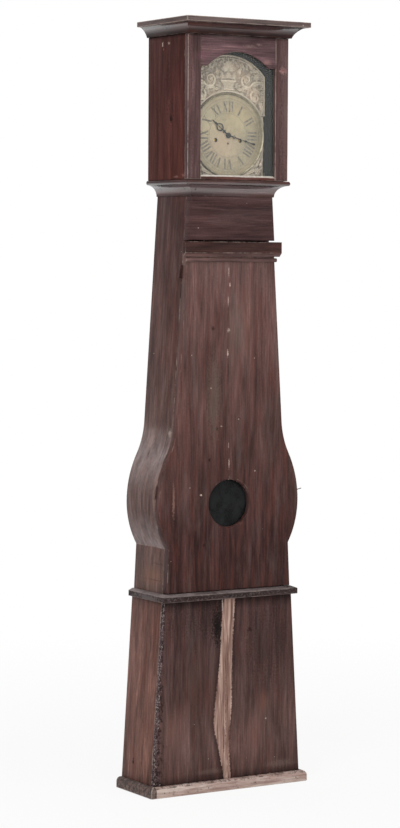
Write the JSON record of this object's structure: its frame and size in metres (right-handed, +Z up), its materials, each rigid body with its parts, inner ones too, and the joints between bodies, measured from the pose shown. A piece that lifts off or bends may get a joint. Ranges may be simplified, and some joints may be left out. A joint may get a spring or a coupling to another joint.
{
  "type": "longcase clock",
  "caption": "Tall wooden floor clock with a violin-shaped trunk and door, glazed sliding hood, embossed dial front, weight-driven striking movement and long pendulum.",
  "frame": {"origin": "middle of the clock's outer box on the floor", "axes": "+Z up, the dial faces -Y, +X to the right as seen from the front"},
  "size_m": [0.5546, 0.2886, 2.3],
  "materials": {
    "case_wood": "worn wax over stain",
    "inner_wood": "bare",
    "clear_glass": "polished",
    "dial_brass": "aged, pressed",
    "dial_enamel": "gloss enamel",
    "blued_steel": "blued",
    "iron": "forged, oiled",
    "steel": "polished",
    "wheel_brass": "dull",
    "cord": "gut line"
  },
  "bodies": {
    "case": {"backboard": "inner_wood", "trunk_side_left": "case_wood", "trunk_side_right": "case_wood", "frieze_panel": "case_wood", "trunk_bottom_rail": "inner_wood", "hood_support_moulding": "case_wood", "waist_moulding": "case_wood", "plinth_front": "case_wood", "plinth_sides": "case_wood", "base_moulding": "case_wood", "seat_board": "inner_wood", "trunk_hinge_fixed": "iron", "hook_screw": "iron", "dial_plate": "dial_brass", "dial_pediment": "dial_brass", "chapter_disc": "dial_enamel", "dial_bezel": "dial_brass", "cage_frame": "iron", "pivot_bars": "iron", "bell": "wheel_brass", "pendulum_cock": "iron"},
    "hood": {"hood_sides": "case_wood", "hood_top_board": "inner_wood", "cornice_cove": "case_wood", "cornice_board": "case_wood", "hood_hinge_fixed": "iron"},
    "hood_door": {"hood_door_stiles": "case_wood", "hood_door_top_rail": "case_wood", "hood_door_bottom_rail": "case_wood", "hood_door_glass": "clear_glass", "hood_hinge_door": "iron"},
    "trunk_door": {"trunk_door_panel": "case_wood", "trunk_door_moulding": "case_wood", "lenticle_glass": "clear_glass", "trunk_hinge_door": "iron", "hook_pin": "iron"},
    "hook": {"door_hook": "iron"},
    "minute_arm": {"cannon_pinion": "steel", "minute_hand": "blued_steel"},
    "minute_wheel_body": {"minute_wheel": "wheel_brass"},
    "hour_arm": {"hour_wheel": "wheel_brass", "hour_hand": "blued_steel"},
    "centre_arbor": {"centre_wheel": "wheel_brass"},
    "going_great": {"going_great_wheel": "wheel_brass"},
    "third_arbor": {"third_wheel": "wheel_brass"},
    "escape_arbor": {"escape_wheel": "wheel_brass"},
    "going_drum": {"going_barrel": "wheel_brass"},
    "going_hung": {"going_weight": "iron", "going_cord": "cord"},
    "strike_great": {"strike_great_wheel": "wheel_brass"},
    "pin_arbor": {"pin_wheel": "wheel_brass"},
    "warning_arbor": {"warning_wheel": "wheel_brass"},
    "fly_arbor": {"fly": "steel"},
    "strike_drum": {"strike_barrel": "wheel_brass"},
    "strike_hung": {"strike_weight": "iron", "strike_cord": "cord"},
    "hammer": {"bell_hammer": "steel"},
    "pendulum": {"anchor": "steel", "pendulum_rod": "steel", "pendulum_bob": "wheel_brass"}
  },
  "joints": [
    {"name": "hood_slide", "type": "slide", "parent": "case", "child": "hood", "axis": [0, -1, 0], "range_m": [0, 0.25]},
    {"name": "hood_door_hinge", "type": "hinge", "parent": "hood", "child": "hood_door", "pos_m": [0.1785, -0.06475, 2.0303], "axis": [0, 0, 1], "range_deg": [0, 110]},
    {"name": "trunk_door_hinge", "type": "hinge", "parent": "case", "child": "trunk_door", "pos_m": [-0.24611, -0.02475, 0.90684], "axis": [-0.1239, 0, -0.9923], "range_deg": [0, 95]},
    {"name": "door_hook_pivot", "type": "hinge", "parent": "case", "child": "hook", "pos_m": [0.2495, -0.00075, 0.884], "axis": [-1, 0, 0], "range_deg": [-30, 60]},
    {"name": "minute_hand_turn", "type": "hinge", "parent": "case", "child": "minute_arm", "pos_m": [0, 0.00725, 1.964], "axis": [0, 1, 0], "continuous": true},
    {"name": "minute_wheel_turn", "type": "hinge", "parent": "case", "child": "minute_wheel_body", "pos_m": [0, 0.00725, 1.94], "axis": [0, 1, 0], "continuous": true},
    {"name": "hour_hand_turn", "type": "hinge", "parent": "case", "child": "hour_arm", "pos_m": [0, 0.00075, 1.964], "axis": [0, 1, 0], "continuous": true},
    {"name": "centre_turn", "type": "hinge", "parent": "case", "child": "centre_arbor", "pos_m": [0, 0.04075, 1.964], "axis": [0, 1, 0], "continuous": true},
    {"name": "going_great_turn", "type": "hinge", "parent": "case", "child": "going_great", "pos_m": [-0.043, 0.02625, 1.9495], "axis": [0, 1, 0], "continuous": true},
    {"name": "third_turn", "type": "hinge", "parent": "case", "child": "third_arbor", "pos_m": [0, 0.04625, 1.99715], "axis": [0, 1, 0], "continuous": true},
    {"name": "escape_turn", "type": "hinge", "parent": "case", "child": "escape_arbor", "pos_m": [0, 0.07825, 2.02715], "axis": [0, 1, 0], "continuous": true},
    {"name": "going_weight_drop", "type": "slide", "parent": "case", "child": "going_hung", "axis": [0, 0, -1], "range_m": [-0.24, 1.25], "deforming": ["going_cord"]},
    {"name": "going_barrel_turn", "type": "hinge", "parent": "case", "child": "going_drum", "pos_m": [-0.043, 0.08225, 1.9495], "axis": [0, 1, 0], "range_deg": [-4775.6, 917.7]},
    {"name": "pin_wheel_turn", "type": "hinge", "parent": "case", "child": "pin_arbor", "pos_m": [0.043, 0.03425, 1.987], "axis": [0, 1, 0], "continuous": true},
    {"name": "strike_great_turn", "type": "hinge", "parent": "case", "child": "strike_great", "pos_m": [0.043, 0.02625, 1.9495], "axis": [0, 1, 0], "continuous": true},
    {"name": "warning_turn", "type": "hinge", "parent": "case", "child": "warning_arbor", "pos_m": [0.043, 0.06425, 2.01805], "axis": [0, 1, 0], "continuous": true},
    {"name": "fly_turn", "type": "hinge", "parent": "case", "child": "fly_arbor", "pos_m": [0.043, 0.06425, 2.04205], "axis": [0, 1, 0], "continuous": true},
    {"name": "strike_weight_drop", "type": "slide", "parent": "case", "child": "strike_hung", "axis": [0, 0, -1], "range_m": [-0.24, 1.25], "deforming": ["strike_cord"]},
    {"name": "strike_barrel_turn", "type": "hinge", "parent": "case", "child": "strike_drum", "pos_m": [0.043, 0.08225, 1.9495], "axis": [0, 1, 0], "range_deg": [-917.7, 4775.6]},
    {"name": "hammer_lift", "type": "hinge", "parent": "case", "child": "hammer", "pos_m": [0.08, 0.05225, 1.99], "axis": [0, 1, 0], "range_deg": [0, 12]},
    {"name": "pendulum_swing", "type": "hinge", "parent": "case", "child": "pendulum", "pos_m": [0, 0.10825, 2.05826], "axis": [0, 1, 0], "range_deg": [-3.5, 3.5]}
  ],
  "couplings": [
    {"joint": "minute_wheel_turn", "follows": "minute_hand_turn", "ratio": -0.33333},
    {"joint": "hour_hand_turn", "follows": "minute_hand_turn", "ratio": 0.083333},
    {"joint": "going_great_turn", "follows": "centre_turn", "ratio": -0.083333},
    {"joint": "third_turn", "follows": "centre_turn", "ratio": -7.5},
    {"joint": "escape_turn", "follows": "centre_turn", "ratio": 55},
    {"joint": "going_barrel_turn", "follows": "going_weight_drop", "rad_per_m": -66.667},
    {"joint": "strike_great_turn", "follows": "pin_wheel_turn", "ratio": -0.11111},
    {"joint": "warning_turn", "follows": "pin_wheel_turn", "ratio": -8},
    {"joint": "fly_turn", "follows": "pin_wheel_turn", "ratio": 56},
    {"joint": "strike_barrel_turn", "follows": "strike_weight_drop", "rad_per_m": 66.667}
  ]
}
